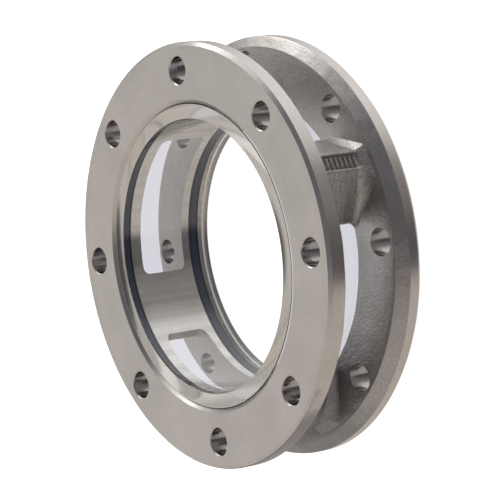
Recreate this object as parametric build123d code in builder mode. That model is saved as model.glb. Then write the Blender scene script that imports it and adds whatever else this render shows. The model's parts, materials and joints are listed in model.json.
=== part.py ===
from build123d import *

import os
from math import cos, isclose, pi, radians, sin

# A flow sight glass for a pipe line: a cast ring body with two drilled flanges joined by
# four posts, a glass tube in its bore, and a rubber ring that seals each end of the tube.
# Sizes are in millimetres. The bore runs along +Z, and the origin is the centre of the
# lower sealing face.

os.makedirs("parts", exist_ok=True)

# Glass tube
glass_inner_radius = 55.1
glass_wall = 6.1
glass_clearance = 0.3
glass_end_recess = 0.8
glass_edge_chamfer = 0.5

# Seal rings, round rubber squeezed between the tube and the floor of its groove
seal_section = 3.53
seal_squeeze = 0.63
seal_bulge = 0.72
seal_side_clearance = 0.45
lower_groove_setback = 3.3
upper_groove_setback = 2.15

# Flanges. Their inner sides have a casting draft, so they are thickest at the bore
flange_thickness = 11.8
flange_draft = 1.6
bore_to_bolt_circle = 13.1125
bolt_circle_to_rim = 11.1125
bolt_hole_diameter = 11.1125
bolt_hole_count = 8
bolt_hole_chamfer = 0.4
bore_mouth_chamfer = 1.4

# Rim: a turned band next to the sealing face, then the cast flank, which slopes inwards
rim_chamfer_radial = 1.6
lower_rim_chamfer_axial = 1.95
upper_rim_chamfer_axial = 1.2
rim_band_width = 6.9
rim_band_step = 0.5
cast_flank_drop = 3.7

# Posts between the flanges, in pairs that mirror each other. Each has a steep side and a round
# side with a knee, both measured sideways from its centre line, and a wider foot at its ends
post_pair_count = 2
window_gap = 20.85
steep_side = 16.6
steep_root = 12.8
steep_shoulder_rise = 2.3
round_side = 16.0
narrow_round_side = 12.6
knee_side = 9.0
knee_drop = 6.2
pad_steep_edge = 6.9
pad_round_edge = 0.9
pad_inset = 9.3
foot_height = 3.0
foot_spread = 2.4
foot_pad_spread = 5.6

# Recessed marking panel on one post, with plain raised bars
panel_length = 16.8
panel_width = 6.4
panel_depth = 0.9
panel_draft = 40
bar_count = 7
bar_pitch = 2.1
bar_width = 1.0
bar_length = 3.8
bar_height = 0.7

# Sizes worked out from the ones above
glass_outer_radius = glass_inner_radius + glass_wall
bore_radius = glass_outer_radius + glass_clearance
bolt_circle_radius = bore_radius + bore_to_bolt_circle
flange_radius = bolt_circle_radius + bolt_circle_to_rim
bolt_hole_radius = bolt_hole_diameter / 2
overall_length = 2 * flange_thickness + window_gap
middle_height = overall_length / 2

seal_height = seal_section - seal_squeeze
groove_floor_radius = glass_outer_radius + seal_height
seal_area = pi * seal_section**2 / 4
seal_flat = seal_area / seal_height - 4 / 3 * seal_bulge
groove_width = seal_flat + 2 * seal_bulge + 2 * seal_side_clearance
lower_seal_height = lower_groove_setback + groove_width / 2
upper_seal_height = overall_length - upper_groove_setback - groove_width / 2

flank_radius = flange_radius - rim_band_step
flange_edge_thickness = flange_thickness - flange_draft
upper_section_plane = Plane(origin=(0, 0, overall_length), x_dir=(1, 0, 0), z_dir=(0, 1, 0))

post_angle = 180 / post_pair_count
bolt_angle = 360 / bolt_hole_count
post_start_radius = bore_radius - steep_side
shoulder_radius = bore_radius + steep_shoulder_rise
steep_root_radius = shoulder_radius - steep_side + steep_root
pad_radius = flange_radius - pad_inset
knee_radius = pad_radius - knee_drop
pad_middle = (pad_steep_edge - pad_round_edge) / 2
panel_angle = -post_angle / 2


def make_post(round_side):
    """One post, along +X, with its two feet and pad, from one flange's inner side to the other's."""
    foot_top = flange_thickness + foot_height
    with BuildPart() as post:
        with BuildSketch(Plane.XY.offset(flange_edge_thickness)):
            Polygon(
                (post_start_radius, -round_side - foot_spread),
                (bore_radius, -round_side - foot_spread),
                (knee_radius + foot_spread, -knee_side - foot_spread / 2),
                (pad_radius + foot_spread, -pad_round_edge - foot_pad_spread),
                (pad_radius + foot_spread, pad_steep_edge + foot_spread / 2),
                (shoulder_radius + foot_spread / 2, steep_side + foot_spread),
                (steep_root_radius, steep_side + foot_spread),
                (post_start_radius, steep_side + foot_spread),
                align=None,
            )
        with BuildSketch(Plane.XY.offset(foot_top)) as post_section:
            Polygon(
                (post_start_radius, -round_side),
                (bore_radius, -round_side),
                (knee_radius, -knee_side),
                (pad_radius, -pad_round_edge),
                (pad_radius, pad_steep_edge),
                (shoulder_radius, steep_side),
                (steep_root_radius, steep_root),
                (post_start_radius, steep_root),
                align=None,
            )
        loft(ruled=True)
        extrude(post_section.sketch, amount=middle_height - foot_top)
        mirror(about=Plane.XY.offset(middle_height))
    return post.part


post = make_post(round_side)
narrow_post = make_post(narrow_round_side)

# Cast body
with BuildPart() as cast_body:
    # Section of each flange, from the bore out to the rim, with depths counted from its face
    for section_plane, rim_chamfer_axial, groove_setback in (
        (Plane.XZ, lower_rim_chamfer_axial, lower_groove_setback),
        (upper_section_plane, upper_rim_chamfer_axial, upper_groove_setback),
    ):
        with BuildSketch(section_plane):
            with BuildLine():
                Polyline(
                    (bore_radius + bore_mouth_chamfer, 0),
                    (flange_radius - rim_chamfer_radial, 0),
                    (flange_radius, rim_chamfer_axial),
                    (flange_radius, rim_band_width),
                    (flank_radius, rim_band_width),
                    (flank_radius - cast_flank_drop, flange_edge_thickness),
                    (bore_radius, flange_thickness),
                    (bore_radius, groove_setback + groove_width),
                    (groove_floor_radius, groove_setback + groove_width),
                    (groove_floor_radius, groove_setback),
                    (bore_radius, groove_setback),
                    (bore_radius, bore_mouth_chamfer),
                    close=True,
                )
            make_face()
        revolve(axis=Axis.Z)

    # Posts, each pair with its steep sides turned towards one window. One is narrower
    with PolarLocations(0, post_pair_count, start_angle=-post_angle / 2):
        add(post)
    with PolarLocations(0, 1, start_angle=post_angle / 2):
        add(narrow_post.mirror(Plane.XZ))
    with PolarLocations(0, post_pair_count - 1, start_angle=3 * post_angle - post_angle / 2):
        add(post.mirror(Plane.XZ))

    # The bore trims the inner sides of the posts
    with BuildSketch(Plane.XY.offset(flange_edge_thickness)):
        Circle(bore_radius)
    extrude(amount=overall_length - 2 * flange_edge_thickness, mode=Mode.SUBTRACT)

    # Bolt holes run in line through both flanges, half a step from the posts
    with BuildSketch(Plane.XY):
        with PolarLocations(bolt_circle_radius, bolt_hole_count, start_angle=bolt_angle / 2):
            Circle(bolt_hole_radius)
    extrude(amount=overall_length, mode=Mode.SUBTRACT)
    hole_edges = cast_body.edges().filter_by(GeomType.CIRCLE).filter_by(
        lambda edge: isclose(edge.radius, bolt_hole_radius)
    )
    face_edges = hole_edges.group_by(Axis.Z)[0] + hole_edges.group_by(Axis.Z)[-1]
    chamfer(face_edges, bolt_hole_chamfer)

    # Marking panel, sunk into the pad of one post
    panel_plane = Plane(
        origin=(
            pad_radius * cos(radians(panel_angle)),
            pad_radius * sin(radians(panel_angle)),
            middle_height,
        ),
        x_dir=(0, 0, 1),
        z_dir=(cos(radians(panel_angle)), sin(radians(panel_angle)), 0),
    )
    with BuildSketch(panel_plane):
        with Locations((0, -pad_middle)):
            Rectangle(panel_length, panel_width)
    extrude(amount=-panel_depth, taper=panel_draft, mode=Mode.SUBTRACT)
    with BuildSketch(panel_plane.offset(-panel_depth)):
        with Locations((0, -pad_middle)):
            with GridLocations(bar_pitch, 0, bar_count, 1):
                Rectangle(bar_width, bar_length)
    extrude(amount=bar_height)

cast_body.part.label = "cast_body"
export_step(cast_body.part, "parts/cast_body.step")


# Glass tube with ground edges
with BuildPart() as glass_tube:
    with BuildSketch(Plane.XY.offset(glass_end_recess)):
        Circle(glass_outer_radius)
        Circle(glass_inner_radius, mode=Mode.SUBTRACT)
    extrude(amount=overall_length - 2 * glass_end_recess)
    chamfer(glass_tube.edges().filter_by(GeomType.CIRCLE), glass_edge_chamfer)

glass_tube.part.label = "glass_tube"
export_step(glass_tube.part, "parts/glass_tube.step")


# Seal rings: flat where they bear on the tube and on the groove floor, bulged at the sides
for ring_name, ring_middle in (
    ("lower_seal_ring", lower_seal_height),
    ("upper_seal_ring", upper_seal_height),
):
    ring_bottom = ring_middle - seal_flat / 2
    ring_top = ring_middle + seal_flat / 2
    ring_middle_radius = (glass_outer_radius + groove_floor_radius) / 2
    with BuildPart() as seal_ring:
        with BuildSketch(Plane.XZ):
            with BuildLine():
                Line((glass_outer_radius, ring_top), (glass_outer_radius, ring_bottom))
                ThreePointArc(
                    (glass_outer_radius, ring_bottom),
                    (ring_middle_radius, ring_bottom - seal_bulge),
                    (groove_floor_radius, ring_bottom),
                )
                Line((groove_floor_radius, ring_bottom), (groove_floor_radius, ring_top))
                ThreePointArc(
                    (groove_floor_radius, ring_top),
                    (ring_middle_radius, ring_top + seal_bulge),
                    (glass_outer_radius, ring_top),
                )
            make_face()
        revolve(axis=Axis.Z)

    seal_ring.part.label = ring_name
    export_step(seal_ring.part, f"parts/{ring_name}.step")
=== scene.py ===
"""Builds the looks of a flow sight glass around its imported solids, in metres, in the same frame.

The cast body, the glass tube and the two seal rings each get a finer mesh and their finishes,
and the stage gives them a white floor, soft light and the camera.
"""

import json
import math
from collections import namedtuple

import bmesh
import bpy
from bpy.props import FloatProperty, FloatVectorProperty, IntProperty, PointerProperty
from mathutils import Matrix, Vector, noise


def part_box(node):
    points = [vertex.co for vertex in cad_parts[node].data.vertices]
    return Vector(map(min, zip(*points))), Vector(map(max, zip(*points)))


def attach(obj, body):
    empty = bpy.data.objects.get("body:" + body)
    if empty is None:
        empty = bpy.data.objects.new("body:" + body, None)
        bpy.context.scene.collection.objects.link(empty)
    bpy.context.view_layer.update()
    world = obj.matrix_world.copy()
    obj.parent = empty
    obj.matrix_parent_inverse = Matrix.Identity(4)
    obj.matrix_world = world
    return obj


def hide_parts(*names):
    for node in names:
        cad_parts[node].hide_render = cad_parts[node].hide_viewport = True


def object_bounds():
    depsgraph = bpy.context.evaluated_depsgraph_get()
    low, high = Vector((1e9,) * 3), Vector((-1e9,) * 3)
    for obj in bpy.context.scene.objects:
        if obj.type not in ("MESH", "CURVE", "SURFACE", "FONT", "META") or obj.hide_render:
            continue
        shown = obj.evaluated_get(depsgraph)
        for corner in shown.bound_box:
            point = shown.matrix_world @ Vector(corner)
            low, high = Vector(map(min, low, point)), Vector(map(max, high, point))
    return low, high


bl_info = {
    "name": "Flow Sight Glass",
    "version": (1, 0, 0),
    "blender": (4, 5, 0),
    "location": "3D View > Sidebar > Sight Glass",
    "description": "Builds the finished look of a flanged flow sight glass around its solids",
    "category": "Add Mesh",
}

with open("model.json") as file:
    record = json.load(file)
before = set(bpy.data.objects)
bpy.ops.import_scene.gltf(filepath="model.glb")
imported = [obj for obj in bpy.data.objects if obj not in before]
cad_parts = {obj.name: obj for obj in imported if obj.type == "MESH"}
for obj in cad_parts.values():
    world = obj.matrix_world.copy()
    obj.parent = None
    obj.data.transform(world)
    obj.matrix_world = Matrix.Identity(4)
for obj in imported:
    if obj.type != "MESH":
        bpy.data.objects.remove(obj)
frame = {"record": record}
cad_low, cad_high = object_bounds()
mounts = {mount["name"]: mount for mount in frame["record"]["mounts"]}
glass_low, glass_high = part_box("glass_tube")
lower_ring_low, lower_ring_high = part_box("lower_seal_ring")
upper_ring_low, upper_ring_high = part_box("upper_seal_ring")

MILLIMETRE = 0.001
FULL_TURN = 2 * math.pi
GROOVE_CLEARANCE = 0.45 * MILLIMETRE


def length(name, description, default):
    """A size in metres for a property group."""
    return FloatProperty(
        name=name, description=description, default=default, min=0.0, precision=5, unit="LENGTH"
    )


def lengths(name, description, default):
    """A size in metres for each post."""
    return FloatVectorProperty(
        name=name, description=description, default=default, size=len(default), precision=5,
        unit="LENGTH",
    )


def angle(name, description, degrees):
    """An angle for a property group."""
    return FloatProperty(
        name=name, description=description, default=math.radians(degrees), subtype="ANGLE"
    )


def colour(name, description, default):
    """A linear colour for a property group."""
    return FloatVectorProperty(
        name=name, description=description, default=default, size=3, min=0.0, max=1.0,
        subtype="COLOR",
    )


def factor(name, description, default, highest=1.0):
    """A plain number from nought upwards for a property group."""
    return FloatProperty(name=name, description=description, default=default, min=0.0, max=highest)


class SIGHTGLASS_PG_body(bpy.types.PropertyGroup):
    """Sizes of the cast body."""

    flange_radius: length("Flange radius", "Outer radius of both flanges", cad_high.x)
    overall_length: length("Overall length", "From face to face", cad_high.z)
    flange_thickness: length("Flange thickness", "Face to cast inner side, at the bore", 0.0118)
    flange_draft: length("Flange draft", "How much thinner a flange is at its cast edge", 0.0016)
    bore_radius: length("Bore radius", "Radius of the machined bore", glass_high.x + 0.0003)
    bore_mouth_chamfer: length("Bore mouth chamfer", "Bevel where the bore meets a face", 0.0014)
    groove_floor_radius: length("Groove floor radius", "Depth of the groove", lower_ring_high.x)
    lower_groove_start: length(
        "Lower groove start", "From the lower face to its groove",
        lower_ring_low.z - GROOVE_CLEARANCE,
    )
    upper_groove_start: length(
        "Upper groove start", "From the upper face to its groove",
        cad_high.z - upper_ring_high.z - GROOVE_CLEARANCE,
    )
    groove_width: length(
        "Groove width", "Width of both grooves",
        lower_ring_high.z - lower_ring_low.z + 2 * GROOVE_CLEARANCE,
    )
    rim_chamfer_radial: length("Rim chamfer, radial", "Bevel at the rim, inwards", 0.0016)
    lower_rim_chamfer: length("Lower rim chamfer", "Bevel of the lower rim, axial", 0.00195)
    upper_rim_chamfer: length("Upper rim chamfer", "Bevel of the upper rim, axial", 0.0012)
    rim_band_width: length("Rim band width", "Turned part of the rim", 0.0069)
    rim_band_step: length("Rim band step", "From the turned band to the cast flank", 0.0005)
    rim_band_lean: length("Rim band lean", "How much narrower the lower band gets", 0.0011)
    flank_drop: length("Flank drop", "How far the cast flank slopes in", 0.0037)
    hole_chamfer: length("Bolt hole chamfer", "Bevel of each hole at the face", 0.0004)
    cast_edge_radius: length("Cast edge radius", "Rounding of edges left as cast", 0.0008)
    turned_edge_radius: length("Turned edge radius", "Broken edge of turned surfaces", 0.00015)
    roughness_height: length("Cast unevenness", "Height of the casting's low waves", 0.00016)


class SIGHTGLASS_PG_posts(bpy.types.PropertyGroup):
    """Sizes of the posts between the flanges, measured sideways from a post's centre line."""

    steep_side: length("Steep side", "Half width on the steep side", 0.0166)
    steep_root: length("Steep root", "Half width of the steep side at the bore", 0.0128)
    shoulder_rise: length("Shoulder rise", "From the bore to the steep side's shoulder", 0.0023)
    round_sides: lengths(
        "Round sides", "Half width of each post on its round side", (0.016, 0.0126, 0.016, 0.016)
    )
    knee_side: length("Knee side", "From the centre line to the knee", 0.009)
    knee_drop: length("Knee drop", "From the pad down to the knee", 0.0062)
    pad_steep_edge: length("Pad, steep edge", "Centre line to the pad's edge", 0.0069)
    pad_round_edge: length("Pad, round edge", "Centre line to the pad's other edge", 0.0009)
    pad_inset: length("Pad inset", "From the rim down to the pad", 0.0093)
    shoulder_shifts: lengths(
        "Shoulder shifts", "How far each post's shoulder stands out further",
        (0.0013, 0.0, -0.0015, 0.0),
    )
    foot_top: length("Foot top", "From the face to the end of the foot's fillet", 0.0147)
    foot_spread: length("Foot spread", "Width that the foot adds", 0.003)
    foot_pad_spread: length("Foot spread at the pad", "Width added beside the pad", 0.0058)
    facet_foot_low: length("Facet foot, at the pad", "The foot's end on the steep side", 0.0131)
    facet_foot_high: length("Facet foot, at the shoulder", "The same at the shoulder", 0.0164)
    facet_foot_spread: length("Facet foot spread", "Width added to the steep side", 0.0011)
    panel_length: length("Panel length", "Sunk marking panel, along the axis", 0.0198)
    panel_width: length("Panel width", "Sunk marking panel, sideways", 0.0064)
    panel_depth: length("Panel depth", "How deep the panel is sunk", 0.0013)
    panel_slope: length("Panel slope", "Width of the panel's sloping sides", 0.0006)
    bar_count: IntProperty(name="Bars", description="Bars in the panel", default=8, min=0)
    bar_pitch: length("Bar pitch", "Distance from bar to bar", 0.0022)
    bar_width: length("Bar width", "Width of one bar", 0.001)
    bar_length: length("Bar length", "Length of one bar", 0.0042)
    bar_height: length("Bar height", "Height of one bar", 0.0011)


class SIGHTGLASS_PG_tube(bpy.types.PropertyGroup):
    """Sizes of the glass tube and its seal rings."""

    outer_radius: length("Outer radius", "Outer radius of the tube", glass_high.x)
    wall: length("Wall", "Thickness of the glass", 0.0061)
    low_end: length("Lower end", "Height of the tube's lower end", glass_low.z)
    high_end: length("Upper end", "Height of the tube's upper end", glass_high.z)
    edge_radius: length("Edge rounding", "Ground rounding of the end edges", 0.0005)
    lower_ring_start: length("Lower ring", "Height of the lower ring", lower_ring_low.z)
    upper_ring_start: length("Upper ring", "Height of the upper ring", upper_ring_low.z)
    ring_width: length("Ring width", "Width of a ring", lower_ring_high.z - lower_ring_low.z)
    ring_outer_radius: length("Ring outer radius", "Outside of a ring", lower_ring_high.x)
    ring_bulge: length("Ring bulge", "How far the squeezed sides bulge", 0.00072)
    ring_gap: length("Ring gap", "Hairline gap, so that ring and tube stay apart", 0.00003)


class SIGHTGLASS_PG_finish(bpy.types.PropertyGroup):
    """Colours and gloss of the finishes."""

    turned_steel: colour("Turned steel", "Machined faces and rims", (0.635, 0.595, 0.568))
    bored_steel: colour("Bored steel", "The bore and its seal grooves", (0.75, 0.72, 0.665))
    drilled_steel: colour("Drilled steel", "Inside of the bolt holes", (0.45, 0.43, 0.43))
    cast_steel: colour("Cast steel", "Surfaces left as cast", (0.54, 0.515, 0.5))
    marked_steel: colour("Marked steel", "The panel and the pad round it", (0.46, 0.425, 0.405))
    # Painted shade: a bluish dark tint mixed into the steel where it stands in for shade
    painted_shade_tint: colour("Painted shade", "Stain on one side of the steel", (0.04, 0.045, 0.078))
    # Painted shade: a faint brown tint where the light on the rims and flanks falls off
    brown_painted_shade: colour("Brown painted shade", "Faint film on the other side", (0.13, 0.095, 0.05))
    glass: colour("Glass", "Tint of the tube", (0.95, 0.95, 0.97))
    ground: colour("Ground glass", "Tint of the tube's ground ends", (0.85, 0.805, 0.745))
    rubber: colour("Rubber", "Seal rings", (0.036, 0.05, 0.095))
    turned_gloss: factor("Turned roughness", "Roughness of the turned faces", 0.3)
    cast_gloss: factor("Cast roughness", "Roughness of the cast surfaces", 0.43)
    bored_gloss: factor("Bored roughness", "Roughness of the bore", 0.22)
    drilled_gloss: factor("Drilled roughness", "Roughness inside the bolt holes", 0.16)


class SIGHTGLASS_PG_stage(bpy.types.PropertyGroup):
    """Camera, lamps and floor. Azimuths are measured about the bore axis, from +X."""

    camera_azimuth: angle("Camera azimuth", "Side that the camera stands on", -64.12)
    camera_elevation: angle("Camera elevation", "Angle above the floor", 35.4)
    camera_roll: angle("Camera roll", "Turn about the line of sight", 98.28)
    camera_distance: length("Camera distance", "From the aim point to the camera", 0.93054)
    camera_aim: FloatVectorProperty(
        name="Camera aim", description="Point at the middle of the picture",
        default=(0.0005, -0.00163, 0.01986), size=3, subtype="XYZ",
    )
    focal_length: FloatProperty(
        name="Focal length", description="Focal length in millimetres", default=165.6, min=1.0
    )
    floor_size: length("Floor size", "Width of the floor", 6.0)
    floor_glow: factor("Floor glow", "White that the floor adds in direct view", 0.87, 2.0)
    backdrop: colour("Backdrop", "Backdrop as seen through the glass", (0.75, 0.745, 0.79))
    key_power: factor("Key light", "Power of the large overhead light, in watts", 8.0, 500.0)
    side_power: factor("Side light", "Power of the small side light, in watts", 1.5, 500.0)
    sky_light: factor("Sky light", "Strength of the light from all round", 1.0, 5.0)
    sky_shade: colour("Sky shade", "Colour of the dark patch high up", (0.14, 0.142, 0.158))


TURNED, CAST, BORED, DRILLED, MARKED = range(5)
CLEAR, GROUND, DULL_GROUND = range(3)

# Longest mesh edges on cast, rim and plain surfaces
CAST_STEP = 1.2 * MILLIMETRE
RIM_STEP = 1.5 * MILLIMETRE
PLAIN_STEP = 4 * MILLIMETRE

# How far the raw bore stands inside the finished one, and how far a cutter reaches past a face
BORE_ALLOWANCE = 2 * MILLIMETRE
OVERCUT = 1 * MILLIMETRE

# Segments round the bore axis, and round one bolt hole
BODY_SEGMENTS = 360
TUBE_SEGMENTS = 256
RING_SEGMENTS = 192
HOLE_SEGMENTS = 64

# Edges that turn further than this stay crisp
SHARP_ANGLE = math.radians(33)

# The lower rim band is narrowest on this side
LEAN_AZIMUTH = math.radians(255)

# Low waves of the casting: their size, their share of the height, and a shift of the pattern
CAST_WAVES = (
    (7 * MILLIMETRE, 0.8, Vector((0.0, 0.0, 0.0))),
    (2.6 * MILLIMETRE, 0.5, Vector((5.0, 1.0, 3.0))),
    (1.3 * MILLIMETRE, 0.35, Vector((1.0, 7.0, 2.0))),
)

# A corner of a post's section: its place between the feet, where its foot stands on the flange,
# how far from the flange's face the foot ends, how hollow the foot is from 0, straight, to 1, the
# corner's rounding, and the number of edges from the corner before it
Corner = namedtuple("Corner", "place foot top hollow rounding edges", defaults=(1.0, 0.0, 1))

# Edges of a post's mesh round a corner, up a foot and between the feet
CORNER_EDGES = 5
FOOT_EDGES = 9
MIDDLE_EDGES = 56

# The corner of the section where the pad starts
PAD_CORNER = 3

# Levels of a post's ends inside the flanges, and how deep and how much wider a level of -1 would be
SUNK_LEVELS = (-0.4, -0.08)
SUNK_DEPTH = 3.6 * MILLIMETRE
SUNK_FLARE = 0.05

# Width of a bar's sloping side, and the edges across one side of a seal ring
BAR_SLOPE = 0.45 * MILLIMETRE
RING_EDGES = 8


def new_object(name, points, faces, finishes=None, materials=()):
    """Makes a mesh object from points and faces, with outward normals."""
    mesh = bpy.data.meshes.new(name)
    mesh.from_pydata(points, [], faces)
    for material in materials:
        mesh.materials.append(material)
    if finishes:
        mesh.polygons.foreach_set("material_index", finishes)
    work = bmesh.new()
    work.from_mesh(mesh)
    bmesh.ops.recalc_face_normals(work, faces=work.faces)
    work.to_mesh(mesh)
    work.free()
    thing = bpy.data.objects.new(name, mesh)
    bpy.context.scene.collection.objects.link(thing)
    return thing


def corner_arc(points, index, radius, edges):
    """One corner of a closed outline, rounded with so many edges."""
    point = points[index]
    before = (points[index - 1] - point).normalized()
    after = (points[(index + 1) % len(points)] - point).normalized()
    reach = radius * math.tan((math.pi - before.angle(after)) / 2)
    start, end = point + before * reach, point + after * reach
    return [
        start.lerp(point, k / edges).lerp(point.lerp(end, k / edges), k / edges)
        for k in range(edges + 1)
    ]


def round_outline(corners, arc_edges=3):
    """Rounds the corners of a closed outline and splits its edges.

    Each corner is (point, rounding radius, finish of the edge after it, longest step on it).
    A rounding takes the higher finish number of its two edges.
    """
    places = [corner[0] for corner in corners]
    arcs = [
        corner_arc(places, index, radius, arc_edges) if radius else [places[index]]
        for index, (_, radius, _, _) in enumerate(corners)
    ]
    points, finishes = [], []
    for index, (_, _, finish, step) in enumerate(corners):
        arc, following = arcs[index], arcs[(index + 1) % len(arcs)][0]
        pieces = max(1, math.ceil((following - arc[-1]).length / step)) if step else 1
        points += arc + [arc[-1].lerp(following, k / pieces) for k in range(1, pieces)]
        finishes += [max(finish, corners[index - 1][2])] * (len(arc) - 1) + [finish] * pieces
    return points, finishes


def revolve(name, outline, finishes, segments):
    """Turns a closed outline of (radius, height) points about the Z axis."""
    rows = len(outline)
    points, faces, face_finishes = [], [], []
    for segment in range(segments):
        turn = FULL_TURN * segment / segments
        points += [(p.x * math.cos(turn), p.x * math.sin(turn), p.y) for p in outline]
        here, there = segment * rows, (segment + 1) % segments * rows
        for row in range(rows):
            above = (row + 1) % rows
            faces.append((here + row, here + above, there + above, there + row))
        face_finishes += finishes
    return new_object(name, points, faces, face_finishes)


def spindle(outline, centre, segments, finish):
    """A solid turned about an upright axis, as points, faces and finishes.

    Its flat ends and the mouths next to them are turned, and between them is the given finish.
    """
    rows = len(outline)
    points, faces, finishes = [], [], []
    for segment in range(segments):
        turn = FULL_TURN * segment / segments
        points += [
            (centre.x + r * math.cos(turn), centre.y + r * math.sin(turn), z) for r, z in outline
        ]
        here, there = segment * rows, (segment + 1) % segments * rows
        faces += [(here + k, there + k, there + k + 1, here + k + 1) for k in range(rows - 1)]
        finishes += [TURNED] + [finish] * (rows - 3) + [TURNED]
    faces.append(tuple(segment * rows for segment in range(segments)))
    faces.append(tuple(segment * rows + rows - 1 for segment in range(segments)))
    return points, faces, finishes + [TURNED, TURNED]


def take_solid(thing):
    """The points, faces and finishes of an object, which is then deleted."""
    points = [tuple(vertex.co) for vertex in thing.data.vertices]
    faces = [tuple(face.vertices) for face in thing.data.polygons]
    finishes = [face.material_index for face in thing.data.polygons]
    bpy.data.objects.remove(thing)
    return points, faces, finishes


def combine(name, solids, materials):
    """Puts several (points, faces, finishes) lists into one mesh object."""
    points, faces, finishes = [], [], []
    for solid_points, solid_faces, solid_finishes in solids:
        start = len(points)
        points += solid_points
        faces += [tuple(start + k for k in face) for face in solid_faces]
        finishes += solid_finishes
    return new_object(name, points, faces, finishes, materials)


def combine_solids(target, tool, operation):
    """Joins or cuts the target with the tool, then deletes the tool."""
    modifier = target.modifiers.new(operation.title(), "BOOLEAN")
    modifier.operation = operation
    modifier.solver = "MANIFOLD"
    modifier.object = tool
    evaluated = target.evaluated_get(bpy.context.evaluated_depsgraph_get())
    mesh = bpy.data.meshes.new_from_object(evaluated)
    target.modifiers.remove(modifier)
    target.data = mesh
    bpy.data.objects.remove(tool)


def cast_wave(place, height):
    """Low waves and dents of a sand casting at a place, along the normal."""
    return height * sum(
        share * noise.noise(place / size + shift) for size, share, shift in CAST_WAVES
    )


def roughen(thing, height):
    """Moves the vertices that only cast quads share, so turned edges and end caps stay.

    Cast faces are cut into triangles, which the later joining and cutting needs.
    """
    work = bmesh.new()
    work.from_mesh(thing.data)
    work.normal_update()
    moves = [
        (vertex, vertex.normal * cast_wave(vertex.co, height))
        for vertex in work.verts
        if all(face.material_index == CAST and len(face.verts) == 4 for face in vertex.link_faces)
    ]
    for vertex, move in moves:
        vertex.co += move
    uneven = [face for face in work.faces if face.material_index in (CAST, MARKED)]
    bmesh.ops.triangulate(work, faces=uneven)
    work.to_mesh(thing.data)
    work.free()


def finish_mesh(thing):
    """Smooth shading with crisp edges and flat faces kept flat."""
    thing.data.shade_smooth()
    thing.data.set_sharp_from_angle(angle=SHARP_ANGLE)
    weighting = thing.modifiers.new("Weighted normals", "WEIGHTED_NORMAL")
    weighting.keep_sharp = True


def soft_step(value, start, end):
    """Goes smoothly from 0 at start to 1 at end."""
    t = min(max((value - start) / (end - start), 0.0), 1.0)
    return t * t * (3 - 2 * t)


def cast_edge(body):
    """Radius where a flange's sloping flank ends at its inner side."""
    return body.flange_radius - body.rim_band_step - body.flank_drop


def inner_side(body, radius):
    """Height of the lower flange's cast inner side, which slopes down from the bore to its edge."""
    width = cast_edge(body) - body.bore_radius
    return body.flange_thickness - body.flange_draft * (radius - body.bore_radius) / width


def flange_outline(body, rim_chamfer):
    """Section of one flange as round_outline gives it: (radius, depth from the face) points."""
    radius = body.flange_radius
    inner = body.bore_radius - BORE_ALLOWANCE
    flank = radius - body.rim_band_step
    band = body.rim_band_width
    edge = body.turned_edge_radius
    inner_edge = cast_edge(body)
    corners = (
        (inner, 0, 0, TURNED, PLAIN_STEP),
        (radius - body.rim_chamfer_radial, 0, edge, TURNED, 0),
        (radius, rim_chamfer, edge, TURNED, RIM_STEP),
        (radius, band, 0, CAST, 0),
        (flank, band + body.rim_band_step, 0, CAST, CAST_STEP),
        (inner_edge, inner_side(body, inner_edge), body.cast_edge_radius, CAST, CAST_STEP),
        (inner, inner_side(body, inner), 0, CAST, 0),
    )
    return round_outline([(Vector((out, depth)), *rest) for out, depth, *rest in corners])


def band_lean(body, radius, depth, turn):
    """Shift of the band's edge towards the face: the casting sits slightly off the turned axis."""
    if radius < cast_edge(body):
        return 0.0
    below = soft_step(depth, body.lower_rim_chamfer, body.rim_band_width)
    above = 1 - soft_step(depth, body.rim_band_width, body.flange_thickness - body.flange_draft)
    side = 0.5 + 0.5 * math.cos(turn - LEAN_AZIMUTH)
    return body.rim_band_lean * side ** 2 * min(below, above)


def make_flanges(body, materials):
    """Both flanges, turned at the face and rim and cast inside."""
    solids = []
    for upper, rim_chamfer in ((False, body.lower_rim_chamfer), (True, body.upper_rim_chamfer)):
        outline, finishes = flange_outline(body, rim_chamfer)
        if upper:
            outline = [Vector((p.x, body.overall_length - p.y)) for p in outline]
        ring = revolve("Flange", outline, finishes, BODY_SEGMENTS)
        if not upper:
            for vertex in ring.data.vertices:
                x, y, depth = vertex.co
                vertex.co.z -= band_lean(body, math.hypot(x, y), depth, math.atan2(y, x))
        roughen(ring, body.roughness_height)
        solids.append(take_solid(ring))
    return combine("Cast_body_surface", solids, materials)


def post_corners(body, posts, round_side, shoulder_shift):
    """Corners of a post's section as (outwards, sideways) places, round side first."""
    bore = body.bore_radius
    start = bore - posts.steep_side
    pad = body.flange_radius - posts.pad_inset
    knee = pad - posts.knee_drop
    shoulder = bore + posts.shoulder_rise
    root = shoulder - posts.steep_side + posts.steep_root
    shoulder += max(shoulder_shift, 0) / 2
    spread, facet_spread, tall = posts.foot_spread, posts.facet_foot_spread, posts.foot_top
    knee_side, pad_side, pad_edge = -posts.knee_side, -posts.pad_round_edge, posts.pad_steep_edge
    shoulder_side = posts.steep_side + shoulder_shift
    steep_foot = posts.steep_side + spread
    round_foot = -round_side - spread
    return (
        Corner((start, -round_side), (start, round_foot), tall),
        Corner((bore, -round_side), (bore, round_foot), tall, rounding=0.003, edges=3),
        Corner((knee, knee_side), (knee + spread, knee_side - spread / 2), tall,
               hollow=0.6, rounding=0.0018, edges=8),
        Corner((pad, pad_side), (pad + 1.2 * spread, pad_side - posts.foot_pad_spread), tall,
               hollow=0.6, rounding=0.001, edges=8),
        Corner((pad, pad_edge), (pad + spread, pad_edge + facet_spread), posts.facet_foot_low,
               hollow=0.25, rounding=0.0006, edges=30),
        Corner((shoulder, shoulder_side), (shoulder, shoulder_side + facet_spread),
               posts.facet_foot_high, hollow=0.25, rounding=0.001, edges=14),
        Corner((root, posts.steep_root), (root, steep_foot), tall, rounding=0.0006, edges=4),
        Corner((start, posts.steep_root), (start, steep_foot), tall, edges=3),
    )


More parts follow.
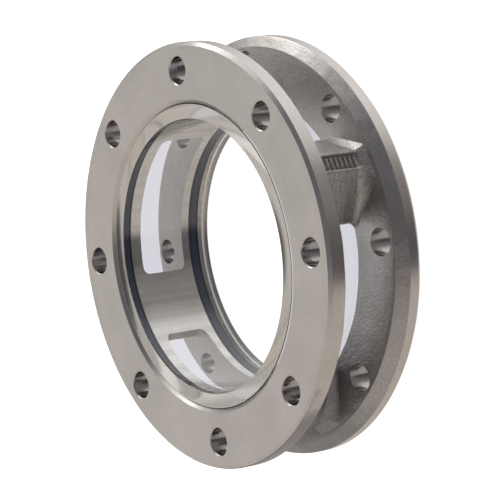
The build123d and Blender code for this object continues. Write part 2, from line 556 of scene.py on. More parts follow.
def rounded_points(corners, places):
    """Outline through the places, with each corner rounded and each edge divided as it says."""
    places = [Vector(place) for place in places]
    arcs = [
        corner_arc(places, index, corner.rounding, CORNER_EDGES)
        for index, corner in enumerate(corners)
    ]
    points = []
    for index, arc in enumerate(arcs):
        following = (index + 1) % len(arcs)
        pieces = corners[following].edges
        points += arc
        points += [arc[-1].lerp(arcs[following][0], k / pieces) for k in range(1, pieces)]
    return points


def foot_values(corners):
    """(top, hollow, on the pad) of the foot at every point of the rounded outline."""
    values = []
    for index, corner in enumerate(corners):
        following = corners[(index + 1) % len(corners)]
        values += [(corner.top, corner.hollow, False)] * (CORNER_EDGES + 1)
        for k in range(1, following.edges):
            share = k / following.edges
            top = corner.top + (following.top - corner.top) * share
            hollow = corner.hollow + (following.hollow - corner.hollow) * share
            values.append((top, hollow, index == PAD_CORNER))
    return values


def post_levels():
    """(end, share) of each level: the share rises up a foot, and goes across the middle."""
    foot = list(SUNK_LEVELS) + [k / FOOT_EDGES for k in range(FOOT_EDGES + 1)]
    levels = [("lower", share) for share in foot]
    levels += [("middle", k / MIDDLE_EDGES) for k in range(1, MIDDLE_EDGES)]
    return levels + [("upper", share) for share in reversed(foot)]


def post_point(body, end, share, middle, foot, top, hollow):
    """Place (outwards, sideways, up) of one outline point at a level."""
    if end == "middle":
        return middle.x, middle.y, top + (body.overall_length - 2 * top) * share
    if share < 0:
        spread, rise = 1 - share * SUNK_FLARE, share * SUNK_DEPTH
    else:
        turn = share * math.pi / 2
        spread = (1 - hollow) * (1 - share) + hollow * (1 - math.sin(turn))
        rise = top - inner_side(body, middle.length)
        rise *= (1 - hollow) * share + hollow * (1 - math.cos(turn))
    place = middle.lerp(foot, spread)
    height = inner_side(body, place.length) + rise
    return place.x, place.y, height if end == "lower" else body.overall_length - height


def panel_sink(posts, along, across):
    """Depth of the marking panel and its bars, at a distance from the panel's middle."""
    inside = soft_step(posts.panel_length / 2 - abs(along), 0, posts.panel_slope)
    inside *= soft_step(posts.panel_width / 2 - abs(across), 0, posts.panel_slope)
    bar = 0.0
    for index in range(posts.bar_count):
        middle = (index - (posts.bar_count - 1) / 2) * posts.bar_pitch
        beside = posts.bar_width / 2 + BAR_SLOPE / 2 - abs(along - middle)
        beyond = posts.bar_length / 2 + BAR_SLOPE / 2 - abs(across)
        bar = max(bar, soft_step(beside, 0, BAR_SLOPE) * soft_step(beyond, 0, BAR_SLOPE))
    return posts.panel_depth * inside - posts.bar_height * bar * inside


def make_post(body, posts, index):
    """One post as a closed solid whose ends sit inside the flanges. The first has the panel."""
    turn = FULL_TURN / 4 * (index - 0.5)
    with_panel = index == 0
    pad_middle = (posts.pad_steep_edge - posts.pad_round_edge) / 2
    middle_height = body.overall_length / 2
    hand = -1 if index % 2 else 1
    corners = post_corners(body, posts, posts.round_sides[index], posts.shoulder_shifts[index])
    middles = rounded_points(corners, [corner.place for corner in corners])
    feet = rounded_points(corners, [corner.foot for corner in corners])
    values = foot_values(corners)
    levels = post_levels()
    points, faces, finishes = [], [], []
    for end, share in levels:
        for middle, foot, (top, hollow, on_pad) in zip(middles, feet, values):
            radial, sideways, z = post_point(body, end, share, middle, foot, top, hollow)
            if on_pad and with_panel:
                radial -= panel_sink(posts, z - middle_height, sideways - pad_middle)
            sideways *= hand
            points.append((
                radial * math.cos(turn) - sideways * math.sin(turn),
                radial * math.sin(turn) + sideways * math.cos(turn),
                z,
            ))
    rows = len(middles)
    for level in range(len(levels) - 1):
        low, high = level * rows, (level + 1) * rows
        on_panel_side = with_panel and levels[level][0] == "middle"
        for k in range(rows):
            following = (k + 1) % rows
            faces.append((low + k, low + following, high + following, high + k))
            marked = on_panel_side and values[k][2] and values[following][2]
            finishes.append(MARKED if marked else CAST)
    faces.append(tuple(range(rows)))
    faces.append(tuple(range(len(points) - rows, len(points))))
    post = new_object("Post", points, faces, finishes + [CAST, CAST])
    roughen(post, body.roughness_height)
    return take_solid(post)


def make_machining(body, bolts, materials):
    """Everything that machining takes out: the bore with its seal grooves, and the bolt holes."""
    total = body.overall_length
    mouth, bore, floor = body.bore_mouth_chamfer, body.bore_radius, body.groove_floor_radius
    edge = body.turned_edge_radius
    halves = []
    for groove_start in (body.lower_groove_start, body.upper_groove_start):
        groove_end = groove_start + body.groove_width
        halves.append([
            (bore + mouth + OVERCUT, -OVERCUT),
            (bore, mouth),
            (bore, groove_start - edge),
            (bore + edge, groove_start),
            (floor, groove_start),
            (floor, groove_end),
            (bore + edge, groove_end),
            (bore, groove_end + edge),
        ])
    outline = halves[0] + [(r, total - z) for r, z in reversed(halves[1])]
    solids = [spindle(outline, Vector((0, 0)), BODY_SEGMENTS, BORED)]
    hole = bolts["hole_r_mm"] * MILLIMETRE
    circle = bolts["pcd_mm"] * MILLIMETRE / 2
    chamfer = body.hole_chamfer
    hole_outline = [(hole + chamfer + OVERCUT, -OVERCUT), (hole, chamfer)]
    hole_outline += [(r, total - z) for r, z in reversed(hole_outline)]
    for index in range(bolts["count"]):
        turn = FULL_TURN * (index + 0.5) / bolts["count"]
        centre = Vector((circle * math.cos(turn), circle * math.sin(turn)))
        solids.append(spindle(hole_outline, centre, HOLE_SEGMENTS, DRILLED))
    return combine("Machining", solids, materials)


class SIGHTGLASS_OT_body(bpy.types.Operator):
    """Build the cast body with its turned, bored and drilled surfaces"""

    bl_idname = "sightglass.body"
    bl_label = "Cast Body"

    def execute(self, context):
        body, posts = context.scene.sight_glass_body, context.scene.sight_glass_posts
        materials = steel_finishes(context.scene.sight_glass_finish)
        surface = make_flanges(body, materials)
        solids = [make_post(body, posts, index) for index in range(4)]
        combine_solids(surface, combine("Posts", solids, materials), "UNION")
        bolts = mounts["upper_bolts"]["dims"]
        combine_solids(surface, make_machining(body, bolts, materials), "DIFFERENCE")
        finish_mesh(surface)
        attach(surface, "root")
        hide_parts("cast_body")
        return {"FINISHED"}


class SIGHTGLASS_OT_tube(bpy.types.Operator):
    """Build the glass tube with its ground ends"""

    bl_idname = "sightglass.tube"
    bl_label = "Glass Tube"

    def execute(self, context):
        tube, finish = context.scene.sight_glass_tube, context.scene.sight_glass_finish
        inner, outer = tube.outer_radius - tube.wall, tube.outer_radius
        edge = tube.edge_radius
        outline, finishes = round_outline([
            (Vector((inner, tube.low_end)), edge, DULL_GROUND, 0),
            (Vector((outer, tube.low_end)), edge, CLEAR, PLAIN_STEP),
            (Vector((outer, tube.high_end)), edge, GROUND, 0),
            (Vector((inner, tube.high_end)), edge, CLEAR, PLAIN_STEP),
        ], arc_edges=4)
        surface = revolve("Glass_tube_surface", outline, finishes, TUBE_SEGMENTS)
        for material in (
            clear_glass(finish),
            ground_glass("Ground_glass", finish, smoothest=0.16, roughest=0.19),
            ground_glass("Dull_ground_glass", finish, smoothest=0.32, roughest=0.4),
        ):
            surface.data.materials.append(material)
        finish_mesh(surface)
        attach(surface, "root")
        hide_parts("glass_tube")
        return {"FINISHED"}


class SIGHTGLASS_OT_rings(bpy.types.Operator):
    """Build the two squeezed seal rings"""

    bl_idname = "sightglass.rings"
    bl_label = "Seal Rings"

    def execute(self, context):
        tube = context.scene.sight_glass_tube
        rubber = seal_rubber(context.scene.sight_glass_finish)
        inner, outer = tube.outer_radius + tube.ring_gap, tube.ring_outer_radius
        low, high = tube.ring_bulge, tube.ring_width - tube.ring_bulge
        outline = []
        for side, level in ((-1, low), (1, high)):
            for k in range(RING_EDGES + 1):
                across = k / RING_EDGES if side < 0 else 1 - k / RING_EDGES
                bulge = tube.ring_bulge * (1 - (2 * across - 1) ** 2)
                outline.append(Vector((inner + (outer - inner) * across, level + side * bulge)))
        for name, node, bottom in (
            ("Lower_seal_ring_surface", "lower_seal_ring", tube.lower_ring_start),
            ("Upper_seal_ring_surface", "upper_seal_ring", tube.upper_ring_start),
        ):
            placed = [Vector((p.x, p.y + bottom)) for p in outline]
            surface = revolve(name, placed, [0] * len(placed), RING_SEGMENTS)
            surface.data.materials.append(rubber)
            finish_mesh(surface)
            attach(surface, "root")
            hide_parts(node)
        return {"FINISHED"}


# A patch of painted shade: its middle as an azimuth about the bore axis, and the angles from there
# within which it is full and beyond which there is none, all in degrees
ShadePatch = namedtuple("ShadePatch", "azimuth full edge")
# Painted shade: dark patches on the upper rim, on one side and at a post's foot, and faint brown
# ones on the rims and flanks where the light falls off
RIM_PAINTED_SHADE = ShadePatch(212, 22, 46)
RIM_PAINTED_FALLOFF = ShadePatch(36, 14, 30)
SIDE_PAINTED_SHADE = ShadePatch(257, 36, 56)
FOOT_PAINTED_SHADE = ShadePatch(210, 16, 36)
FLANK_PAINTED_FALLOFF = ShadePatch(32, 14, 38)

# How strongly a painted shade shows, where that is the same at every distance from the bore axis
RIM_PAINTED_SHADE_DEPTH = 0.6
RIM_PAINTED_FALLOFF_DEPTH = 0.3
FOOT_PAINTED_SHADE_DEPTH = 0.4

# What changes with the distance from the bore axis: two distances, and the value at each of them
GRAIN_BY_RADIUS = (79.5 * MILLIMETRE, 81.5 * MILLIMETRE, 1.4, 0.6)
SIDE_PAINTED_SHADE_BY_RADIUS = (64 * MILLIMETRE, 79 * MILLIMETRE, 0.4, 0.12)
FLANK_PAINTED_FALLOFF_BY_RADIUS = (80 * MILLIMETRE, 82 * MILLIMETRE, 0.0, 0.26)

# The rims' turned bands lie outside this radius, and the upper one above this height
BAND_RADIUS = 85.3 * MILLIMETRE
UPPER_BAND_HEIGHT = 36 * MILLIMETRE

# Broad bands of tool marks for each fine line, and the highlight's turn, which is a quarter
BANDS_PER_LINE = 0.06
HIGHLIGHT_TURN = 0.25

# How far the tool marks and the clouds shift the roughness of machined and of cast steel
MARKS_SHIFT = 0.03
MACHINED_CLOUD_SHIFT = 0.025
CAST_CLOUD_SHIFT = 0.05

# Share of the lumps and the pits in the relief of cast steel, next to the grain
LUMP_SHARE = 0.7
PIT_SHARE = 0.5

# The middle part of a noise texture's values, which is stretched to the range that is wanted
NOISE_LOW, NOISE_HIGH = 0.3, 0.7

GLASS_IOR = 1.5


def opaque(tint):
    """A colour with the full alpha that colour sockets take."""
    return (*tint, 1.0)


def empty_tree(owner):
    """The cleared node tree of a material or a world."""
    owner.use_nodes = True
    owner.node_tree.nodes.clear()
    return owner.node_tree


def new_material(name):
    """A material with its tree and its Principled BSDF."""
    material = bpy.data.materials.new(name)
    tree = empty_tree(material)
    shader = tree.nodes.new("ShaderNodeBsdfPrincipled")
    add_node(tree, "ShaderNodeOutputMaterial", {"Surface": shader.outputs["BSDF"]})
    return material, tree, shader


def new_group(name, inputs, outputs):
    """Makes a shader node group with named sockets, and gives its input and output nodes."""
    group = bpy.data.node_groups.new(name, "ShaderNodeTree")
    for label, kind, default in inputs:
        socket = group.interface.new_socket(label, in_out="INPUT", socket_type=kind)
        socket.default_value = default
    for label, kind in outputs:
        group.interface.new_socket(label, in_out="OUTPUT", socket_type=kind)
    return group, group.nodes.new("NodeGroupInput"), group.nodes.new("NodeGroupOutput")


def connect(tree, node, links):
    """Links or sets a node's inputs, by name or number."""
    for key, value in links.items():
        if isinstance(value, bpy.types.NodeSocket):
            tree.links.new(value, node.inputs[key])
        else:
            node.inputs[key].default_value = value


def add_node(tree, kind, links=None, **settings):
    """Adds a node, sets its properties and connects its inputs."""
    node = tree.nodes.new(kind)
    for key, value in settings.items():
        setattr(node, key, value)
    connect(tree, node, links or {})
    return node


def place_group(tree, group, links):
    """Places a node group in a material or a world."""
    return add_node(tree, "ShaderNodeGroup", links, node_tree=group)


def math_value(tree, operation, *values):
    """One step of arithmetic on values or sockets."""
    node = add_node(tree, "ShaderNodeMath", dict(enumerate(values)), operation=operation)
    return node.outputs["Value"]


def vector_math(tree, operation, *values, output="Vector"):
    """One step of arithmetic on vectors."""
    node = add_node(tree, "ShaderNodeVectorMath", dict(enumerate(values)), operation=operation)
    return node.outputs[output]


def scale_colour(tree, tint, level):
    """A colour made lighter or darker by a level."""
    links = {0: tint, "Scale": level}
    return add_node(tree, "ShaderNodeVectorMath", links, operation="SCALE").outputs["Vector"]


def mix_colour(tree, amount, first, second):
    """Mixes two colours: the first at amount 0, the second at amount 1.

    A Mix node's sockets go by number, because each kind of value has its own of the same names.
    """
    links = {0: amount, 6: first, 7: second}
    return add_node(tree, "ShaderNodeMix", links, data_type="RGBA").outputs[2]


def spread_value(tree, value, low, high, new_low, new_high):
    """Stretches the range low to high of a value to a new range."""
    return add_node(tree, "ShaderNodeMapRange", {
        "Value": value, "From Min": low, "From Max": high, "To Min": new_low, "To Max": new_high,
    }).outputs["Result"]


def soft_mask(tree, value, none, full):
    """A mask that goes smoothly from 0 to 1 between two values."""
    return add_node(tree, "ShaderNodeMapRange", {
        "Value": value, "From Min": none, "From Max": full,
    }, interpolation_type="SMOOTHSTEP").outputs["Result"]


def noise_value(tree, vector, scale, detail=3.0):
    """A noise texture's value over a vector."""
    return add_node(tree, "ShaderNodeTexNoise", {
        "Vector": vector, "Scale": scale, "Detail": detail,
    }).outputs["Fac"]


def line_noise(tree, along):
    """A noise texture's value along a line."""
    return add_node(tree, "ShaderNodeTexNoise", {"W": along, "Scale": 1.0, "Detail": 2.0},
                    noise_dimensions="1D").outputs["Fac"]


def stretch_noise(tree, value, low, high):
    """Stretches a noise value's middle part to the range low to high."""
    return spread_value(tree, value, NOISE_LOW, NOISE_HIGH, low, high)


def bump_normal(tree, height, strength, distance):
    """Normal of a surface that is raised by a height."""
    return add_node(tree, "ShaderNodeBump", {
        "Height": height, "Strength": strength, "Distance": distance,
    }).outputs["Normal"]


def object_place(tree):
    """A surface point's place, in metres."""
    return add_node(tree, "ShaderNodeTexCoord").outputs["Object"]


def from_axis(tree, place):
    """A place without its height: the way there from the bore axis."""
    return vector_math(tree, "MULTIPLY", place, (1.0, 1.0, 0.0))


def tool_marks():
    """Fine lines that a cutting tool leaves, side by side along a position in metres."""
    group, given, result = new_group(
        "Tool marks",
        [("Position", "NodeSocketFloat", 0.0), ("Lines per metre", "NodeSocketFloat", 3000.0),
         ("Unevenness", "NodeSocketFloat", 0.5)],
        [("Height", "NodeSocketFloat"), ("Roughness shift", "NodeSocketFloat")],
    )
    density = given.outputs["Lines per metre"]
    along = math_value(group, "MULTIPLY", given.outputs["Position"], density)
    bands = line_noise(group, math_value(group, "MULTIPLY", along, BANDS_PER_LINE))
    uneven = math_value(group, "MULTIPLY", bands, given.outputs["Unevenness"])
    connect(group, result, {
        "Height": math_value(group, "ADD", line_noise(group, along), uneven),
        "Roughness shift": stretch_noise(group, bands, -1.0, 1.0),
    })
    return group


def metal_tone():
    """Faint cloudy changes of tone and gloss, as handled bare steel has."""
    group, given, result = new_group(
        "Metal tone",
        [("Colour", "NodeSocketColor", (0.6, 0.6, 0.6, 1.0)), ("Clouds", "NodeSocketFloat", 0.08),
         ("Speckle", "NodeSocketFloat", 0.05)],
        [("Colour", "NodeSocketColor"), ("Gloss shift", "NodeSocketFloat")],
    )
    place = object_place(group)
    broad = noise_value(group, place, scale=45.0, detail=4.0)
    fine = noise_value(group, place, scale=1400.0, detail=2.0)
    clouds = stretch_noise(group, broad, -1.0, 1.0)
    speckle = stretch_noise(group, fine, -1.0, 1.0)
    cloudy = math_value(group, "MULTIPLY", clouds, given.outputs["Clouds"])
    speckled = math_value(group, "MULTIPLY", speckle, given.outputs["Speckle"])
    level = math_value(group, "ADD", math_value(group, "ADD", cloudy, speckled), 1.0)
    toned = scale_colour(group, given.outputs["Colour"], level)
    connect(group, result, {"Colour": toned, "Gloss shift": clouds})
    return group


def side_shade_mask():
    """A mask of painted shade on one side of the body, by the direction from the bore axis."""
    group, given, result = new_group(
        "Painted side shade",
        [("Towards", "NodeSocketVector", (1.0, 0.0, 0.0)), ("Edge", "NodeSocketFloat", 0.6),
         ("Full", "NodeSocketFloat", 0.8), ("Depth", "NodeSocketFloat", 0.4)],
        [("Amount", "NodeSocketFloat")],
    )
    place = object_place(group)
    outward = vector_math(group, "NORMALIZE", from_axis(group, place))
    facing = vector_math(group, "DOT_PRODUCT", outward, given.outputs["Towards"], output="Value")
    patches = stretch_noise(group, noise_value(group, place, scale=70.0), -0.08, 0.08)
    uneven = math_value(group, "ADD", facing, patches)
    amount = soft_mask(group, uneven, given.outputs["Edge"], given.outputs["Full"])
    connect(group, result, {
        "Amount": math_value(group, "MULTIPLY", amount, given.outputs["Depth"]),
    })
    return group


def painted_shade_colour(tree, group, clean, painted_shade, depth, tint):
    """Mixes a painted shade's tint into a clean colour, to a depth from 0 to 1."""
    turn = math.radians(painted_shade.azimuth)
    amount = place_group(tree, group, {
        "Towards": (math.cos(turn), math.sin(turn), 0.0),
        "Edge": math.cos(math.radians(painted_shade.edge)),
        "Full": math.cos(math.radians(painted_shade.full)),
        "Depth": depth,
    }).outputs["Amount"]
    return mix_colour(tree, amount, clean, opaque(tint))


def machined_material(name, tint, roughness, groups, finish, lines_per_metre, relief,
                      anisotropy=0.0, fan_scale=1.0, fan_depth=0.0):
    """Bright machined steel. Its tool marks run round the bore axis, or across a drilled hole.

    A turned or bored face has an anisotropy, and a painted sheen makes it lighter and darker by its
    direction from the axis. The turned rims also carry painted shade, on one side of the upper one,
    and a faint brown painted shade where the light falls off.
    """
    marks, tone, painted_shade = groups
    material, tree, shader = new_material(name)
    place = object_place(tree)
    along = add_node(tree, "ShaderNodeSeparateXYZ", {"Vector": place}).outputs["Z"]
    toned = place_group(tree, tone, {"Colour": opaque(tint), "Clouds": 0.06, "Speckle": 0.06})
    surface_colour = toned.outputs["Colour"]
    if anisotropy:
        out = from_axis(tree, place)
        radius = vector_math(tree, "LENGTH", out, output="Value")
        # Painted sheen: lighter and darker fans by the direction from the axis stand in for the
        # anisotropic highlights of turned and bored steel
        directions = noise_value(tree, vector_math(tree, "NORMALIZE", out), fan_scale)
        painted_sheen = stretch_noise(tree, directions, 1.0 - fan_depth, 1.0 + fan_depth)
        fanned = scale_colour(tree, surface_colour, painted_sheen)
        # Painted shade on the rims: a dark patch on one side of the upper rim, and a faint brown
        # one on both rims where the light falls off
        on_rim = math_value(tree, "GREATER_THAN", radius, BAND_RADIUS)
        on_upper = math_value(tree, "GREATER_THAN", along, UPPER_BAND_HEIGHT)
        on_upper_rim = math_value(tree, "MULTIPLY", on_rim, on_upper)
        dark = math_value(tree, "MULTIPLY", on_upper_rim, RIM_PAINTED_SHADE_DEPTH)
        rim_shaded = painted_shade_colour(tree, painted_shade, fanned, RIM_PAINTED_SHADE, dark, finish.painted_shade_tint)
        faint = math_value(tree, "MULTIPLY", on_rim, RIM_PAINTED_FALLOFF_DEPTH)
        surface_colour = painted_shade_colour(tree, painted_shade, rim_shaded, RIM_PAINTED_FALLOFF, faint, finish.brown_painted_shade)
        along = math_value(tree, "ADD", radius, along)
        tangent = add_node(tree, "ShaderNodeTangent", direction_type="RADIAL", axis="Z")
        connect(tree, shader, {
            "Tangent": tangent.outputs["Tangent"],
            "Anisotropic": anisotropy,
            "Anisotropic Rotation": HIGHLIGHT_TURN,
        })
    lines = place_group(tree, marks, {
        "Position": along, "Lines per metre": lines_per_metre, "Unevenness": 0.6,
    })
    shift = math_value(tree, "MULTIPLY", lines.outputs["Roughness shift"], MARKS_SHIFT)
    clouds = toned.outputs["Gloss shift"]
    shift = math_value(tree, "MULTIPLY_ADD", clouds, MACHINED_CLOUD_SHIFT, shift)
    connect(tree, shader, {
        "Base Color": surface_colour,
        "Metallic": 1.0,
        "Roughness": math_value(tree, "ADD", shift, roughness),
        "Normal": bump_normal(tree, lines.outputs["Height"], relief, 0.01 * MILLIMETRE),
    })
    return material


def cast_material(name, tint, groups, finish, grain_depth):
    """Sand-cast steel: a fine grain with pits, duller than the machined faces.

    It is smoother on the flanks. Painted shade darkens one side, deepest near the bore, and the
    foot of a post, and a faint brown painted shade lies on the flanks where the light falls off.
    """
    _, tone, painted_shade = groups
    material, tree, shader = new_material(name)
    place = object_place(tree)
    radius = vector_math(tree, "LENGTH", from_axis(tree, place), output="Value")
    grain = noise_value(tree, place, scale=1800.0, detail=2.5)
    lumps = noise_value(tree, place, scale=700.0, detail=2.0)
    pits = add_node(tree, "ShaderNodeTexVoronoi", {"Vector": place, "Scale": 1100.0},
                    feature="SMOOTH_F1").outputs["Distance"]
    height = math_value(tree, "MULTIPLY_ADD", lumps, LUMP_SHARE, grain)
    height = math_value(tree, "MULTIPLY_ADD", pits, PIT_SHARE, height)
    coarseness = spread_value(tree, radius, *GRAIN_BY_RADIUS)
    height = math_value(tree, "MULTIPLY", height, coarseness)
    toned = place_group(tree, tone, {"Colour": opaque(tint), "Clouds": 0.1, "Speckle": 0.16})
    surface_colour = toned.outputs["Colour"]
    # Painted shade: darker on one side, most near the bore, and at a post's foot, with a faint
    # brown shade on the flanks where the light falls off
    deep = spread_value(tree, radius, *SIDE_PAINTED_SHADE_BY_RADIUS)
    faint = spread_value(tree, radius, *FLANK_PAINTED_FALLOFF_BY_RADIUS)
    for area, depth, shade_tint in (
        (SIDE_PAINTED_SHADE, deep, finish.painted_shade_tint),
        (FOOT_PAINTED_SHADE, FOOT_PAINTED_SHADE_DEPTH, finish.painted_shade_tint),
        (FLANK_PAINTED_FALLOFF, faint, finish.brown_painted_shade),
    ):
        surface_colour = painted_shade_colour(tree, painted_shade, surface_colour, area, depth, shade_tint)
    shift = math_value(tree, "MULTIPLY", toned.outputs["Gloss shift"], CAST_CLOUD_SHIFT)
    connect(tree, shader, {
        "Base Color": surface_colour,
        "Metallic": 1.0,
        "Roughness": math_value(tree, "ADD", shift, finish.cast_gloss),
        "Normal": bump_normal(tree, height, 1.0, grain_depth),
    })
    return material


def steel_finishes(finish):
    """The body's finishes, in the order TURNED, CAST, BORED, DRILLED, MARKED."""
    groups = tool_marks(), metal_tone(), side_shade_mask()
    return (
        machined_material(
            "Turned_steel", finish.turned_steel, finish.turned_gloss, groups, finish,
            lines_per_metre=1700.0, relief=0.3, anisotropy=0.7, fan_scale=2.6, fan_depth=0.06,
        ),
        cast_material("Cast_steel", finish.cast_steel, groups, finish, 0.12 * MILLIMETRE),
        machined_material(
            "Bored_steel", finish.bored_steel, finish.bored_gloss, groups, finish,
            lines_per_metre=950.0, relief=0.6, anisotropy=0.4, fan_scale=11.0, fan_depth=0.16,
        ),
        machined_material(
            "Drilled_steel", finish.drilled_steel, finish.drilled_gloss, groups, finish,
            lines_per_metre=1100.0, relief=5.0,
        ),
        cast_material("Marked_steel", finish.marked_steel, groups, finish, 0.08 * MILLIMETRE),
    )


def glass_inputs(tint, roughness):
    """A shader's inputs for glass of a tint and a roughness."""
    return {
        "Base Color": opaque(tint), "Roughness": roughness, "IOR": GLASS_IOR,
        "Transmission Weight": 1.0,
    }


def clear_glass(finish):
    """Clear polished glass with a faint tint."""
    material, tree, shader = new_material("Clear_glass")
    connect(tree, shader, glass_inputs(finish.glass, 0.0))
    return material


def ground_glass(name, finish, smoothest, roughest):
    """The same glass, finely ground at the tube's ends."""
    material, tree, shader = new_material(name)
    grain = noise_value(tree, object_place(tree), scale=2500.0, detail=2.0)
    roughness = stretch_noise(tree, grain, smoothest, roughest)
    connect(tree, shader, glass_inputs(finish.ground, roughness))
    return material


def seal_rubber(finish):
    """Matt moulded rubber with a faint grain."""
    material, tree, shader = new_material("Seal_rubber")
    grain = noise_value(tree, object_place(tree), scale=2200.0, detail=2.0)
    connect(tree, shader, {
        "Base Color": opaque(finish.rubber),
        "Roughness": stretch_noise(tree, grain, 0.3, 0.42),
        "Specular IOR Level": 0.18,
        "Normal": bump_normal(tree, grain, 0.3, 0.02 * MILLIMETRE),
    })
    return material


# Light round the room that metal and sheen see, by azimuth in degrees: the room is dark behind the
# camera, and bright on the side that lights the rims
ROOM_LEVELS = (
    (-180, (0.62, 0.58, 0.53)),
    (-92, (0.6, 0.56, 0.52)),
    (-87, (0.106, 0.101, 0.109)),
    (-66, (0.136, 0.13, 0.133)),
    (-45, (0.27, 0.262, 0.258)),
    (-28, (0.34, 0.33, 0.32)),
    (-8, (0.86, 0.85, 0.84)),
    (12, (1.05, 1.05, 1.05)),
    (55, (1.0, 1.0, 1.0)),
    (70, (0.86, 0.855, 0.85)),
    (80, (0.6, 0.595, 0.59)),
    (90, (0.48, 0.475, 0.47)),
    (103, (0.53, 0.52, 0.51)),
    (114, (0.69, 0.675, 0.655)),
    (140, (0.62, 0.6, 0.575)),
    (180, (0.62, 0.58, 0.53)),
)

# The dark patch high up: its middle, and how far from there it is full and ends
PATCH_AZIMUTH, PATCH_ELEVATION = math.radians(-25), math.radians(50)
PATCH_FULL, PATCH_END = math.radians(32), math.radians(54)

OVERHEAD_PLACE = Vector((-0.3, 0.5, 1.5))
OVERHEAD_SIZE = 1.2
SIDE_PLACE = Vector((math.cos(math.radians(54)), math.sin(math.radians(54)), 0.18))
SIDE_SIZE = 0.32
FLOOR_DROP = 0.1 * MILLIMETRE
FLOOR_PAINT = (0.8, 0.8, 0.8, 1.0)
WHITE = (1.0, 1.0, 1.0, 1.0)


def direction(azimuth, elevation):
    """Unit vector towards an azimuth and elevation."""
    return Vector((
        math.cos(elevation) * math.cos(azimuth),
        math.cos(elevation) * math.sin(azimuth),
        math.sin(elevation),
    ))


def room_light():
    """Light levels all round the room, by the azimuth of a direction."""
    group, given, result = new_group(
        "Room light", [("Direction", "NodeSocketVector", (0.0, 0.0, 0.0))],
        [("Colour", "NodeSocketColor")],
    )
    parts = add_node(group, "ShaderNodeSeparateXYZ", {"Vector": given.outputs["Direction"]})
    turn = math_value(group, "ARCTAN2", parts.outputs["Y"], parts.outputs["X"])
    place = spread_value(group, turn, -math.pi, math.pi, 0.0, 1.0)
    ramp = add_node(group, "ShaderNodeValToRGB", {"Fac": place})
    stops = ramp.color_ramp.elements
    while len(stops) < len(ROOM_LEVELS):
        stops.new(0.5)
    # Blender sorts the stops as they move, so their colours come after all their places
    for stop, (azimuth, _) in zip(stops, ROOM_LEVELS):
        stop.position = (azimuth + 180) / 360
    for stop, (_, level) in zip(stops, ROOM_LEVELS):
        stop.color = opaque(level)
    connect(group, result, {"Colour": ramp.outputs["Color"]})
    return group


def floor_material(stage):
    """White floor for the object's shadow."""
    material = bpy.data.materials.new("Floor_white")
    tree = empty_tree(material)
    paint = add_node(tree, "ShaderNodeBsdfDiffuse", {"Color": FLOOR_PAINT})
    path = tree.nodes.new("ShaderNodeLightPath")
    strength = math_value(tree, "MULTIPLY", path.outputs["Is Camera Ray"], stage.floor_glow)
    glow = add_node(tree, "ShaderNodeEmission", {"Color": WHITE, "Strength": strength})
    both = add_node(tree, "ShaderNodeAddShader", {
        0: paint.outputs["BSDF"], 1: glow.outputs["Emission"],
    })
    add_node(tree, "ShaderNodeOutputMaterial", {"Surface": both.outputs["Shader"]})
    return material


def background(tree, tint, strength=1.0):
    """A background shader's output."""
    node = add_node(tree, "ShaderNodeBackground", {"Color": tint, "Strength": strength})
    return node.outputs["Background"]


def mix_shader(tree, amount, first, second):
    """Mixes two shaders: the first at amount 0, the second at amount 1."""
    links = {0: amount, 1: first, 2: second}
    return add_node(tree, "ShaderNodeMixShader", links).outputs["Shader"]


def make_world(stage):
    """White in direct view, the backdrop through clear glass, and the room for metal and sheen."""
    world = bpy.data.worlds.new("Room")
    tree = empty_tree(world)
    outward = add_node(tree, "ShaderNodeTexCoord").outputs["Generated"]
    level = place_group(tree, room_light(), {"Direction": outward}).outputs["Colour"]
    towards = direction(PATCH_AZIMUTH, PATCH_ELEVATION)
    facing = vector_math(tree, "DOT_PRODUCT", outward, towards, output="Value")
    patch = soft_mask(tree, facing, math.cos(PATCH_END), math.cos(PATCH_FULL))
    shaded = mix_colour(tree, patch, level, opaque(stage.sky_shade))
    around = background(tree, shaded, stage.sky_light)
    behind = background(tree, opaque(stage.backdrop))
    path = tree.nodes.new("ShaderNodeLightPath")
    unreflected = math_value(tree, "LESS_THAN", path.outputs["Glossy Depth"], 0.5)
    through = math_value(tree, "MULTIPLY", path.outputs["Is Transmission Ray"], unreflected)
    indirect = mix_shader(tree, through, around, behind)
    seen = mix_shader(tree, path.outputs["Is Camera Ray"], indirect, background(tree, WHITE))
    add_node(tree, "ShaderNodeOutputWorld", {"Surface": seen})
    return world


def add_lamp(name, power, size, place, aim):
    """A square area light at a place, pointed at the aim."""
    data = bpy.data.lights.new(name, "AREA")
    data.energy = power
    data.size = size
    lamp = bpy.data.objects.new(name, data)
    lamp.location = place
    lamp.rotation_euler = (aim - place).to_track_quat("-Z", "Y").to_euler()
    bpy.context.scene.collection.objects.link(lamp)
    return lamp


def add_camera(stage):
    """The camera at the photograph's viewing angle."""
    outward = direction(stage.camera_azimuth, stage.camera_elevation)
    data = bpy.data.cameras.new("Camera")
    data.lens = stage.focal_length
    data.clip_start = 0.01
    camera = bpy.data.objects.new("Camera", data)
    upright = outward.to_track_quat("Z", "Y").to_matrix().to_4x4()
    camera.matrix_world = upright @ Matrix.Rotation(-stage.camera_roll, 4, "Z")
    camera.matrix_world.translation = Vector(stage.camera_aim) + outward * stage.camera_distance
    bpy.context.scene.collection.objects.link(camera)
    bpy.context.scene.camera = camera


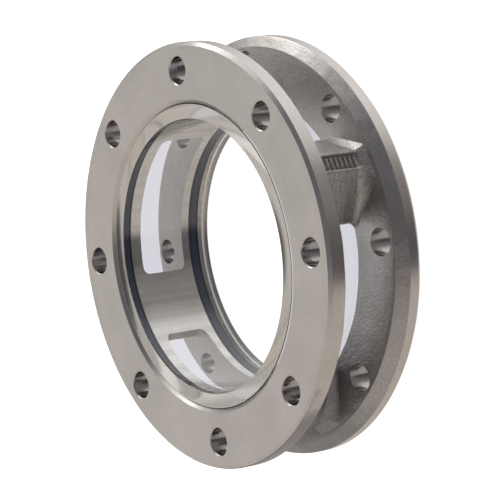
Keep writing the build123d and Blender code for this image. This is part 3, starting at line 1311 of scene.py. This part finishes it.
class SIGHTGLASS_OT_stage(bpy.types.Operator):
    """Set up the floor, the light and the camera"""

    bl_idname = "sightglass.stage"
    bl_label = "Stage"

    def execute(self, context):
        stage = context.scene.sight_glass_stage
        half = stage.floor_size / 2
        sides = ((-half, -half), (half, -half), (half, half), (-half, half))
        floor = new_object("Floor", [(x, y, -FLOOR_DROP) for x, y in sides], [(0, 1, 2, 3)])
        floor.data.materials.append(floor_material(stage))
        floor.visible_glossy = floor.visible_transmission = False
        context.scene.world = make_world(stage)
        centre = Vector((0, 0, context.scene.sight_glass_body.overall_length / 2))
        overhead = add_lamp("Overhead", stage.key_power, OVERHEAD_SIZE, OVERHEAD_PLACE, centre)
        overhead.visible_glossy = False
        add_lamp("Side", stage.side_power, SIDE_SIZE, SIDE_PLACE, centre)
        add_camera(stage)
        context.scene.view_settings.view_transform = "Standard"
        return {"FINISHED"}


OPERATORS = (SIGHTGLASS_OT_body, SIGHTGLASS_OT_tube, SIGHTGLASS_OT_rings, SIGHTGLASS_OT_stage)


class SIGHTGLASS_PT_panel(bpy.types.Panel):
    """Lists the steps that build the sight glass"""

    bl_idname = "SIGHTGLASS_PT_panel"
    bl_label = "Flow Sight Glass"
    bl_space_type = "VIEW_3D"
    bl_region_type = "UI"
    bl_category = "Sight Glass"

    def draw(self, context):
        for operator in OPERATORS:
            self.layout.operator(operator.bl_idname)


SETTINGS = {
    "sight_glass_body": SIGHTGLASS_PG_body,
    "sight_glass_posts": SIGHTGLASS_PG_posts,
    "sight_glass_tube": SIGHTGLASS_PG_tube,
    "sight_glass_finish": SIGHTGLASS_PG_finish,
    "sight_glass_stage": SIGHTGLASS_PG_stage,
}
CLASSES = (*SETTINGS.values(), *OPERATORS, SIGHTGLASS_PT_panel)


def register():
    """Registers the classes and gives the scene its settings."""
    for item in CLASSES:
        bpy.utils.register_class(item)
    for name, group in SETTINGS.items():
        setattr(bpy.types.Scene, name, PointerProperty(type=group))


def unregister():
    """Takes the settings and the classes away again."""
    for name in SETTINGS:
        delattr(bpy.types.Scene, name)
    for item in reversed(CLASSES):
        bpy.utils.unregister_class(item)


def main():
    """Builds every piece and the stage."""
    register()
    bpy.ops.sightglass.body()
    bpy.ops.sightglass.tube()
    bpy.ops.sightglass.rings()
    bpy.ops.sightglass.stage()


if __name__ == "__main__":
    main()
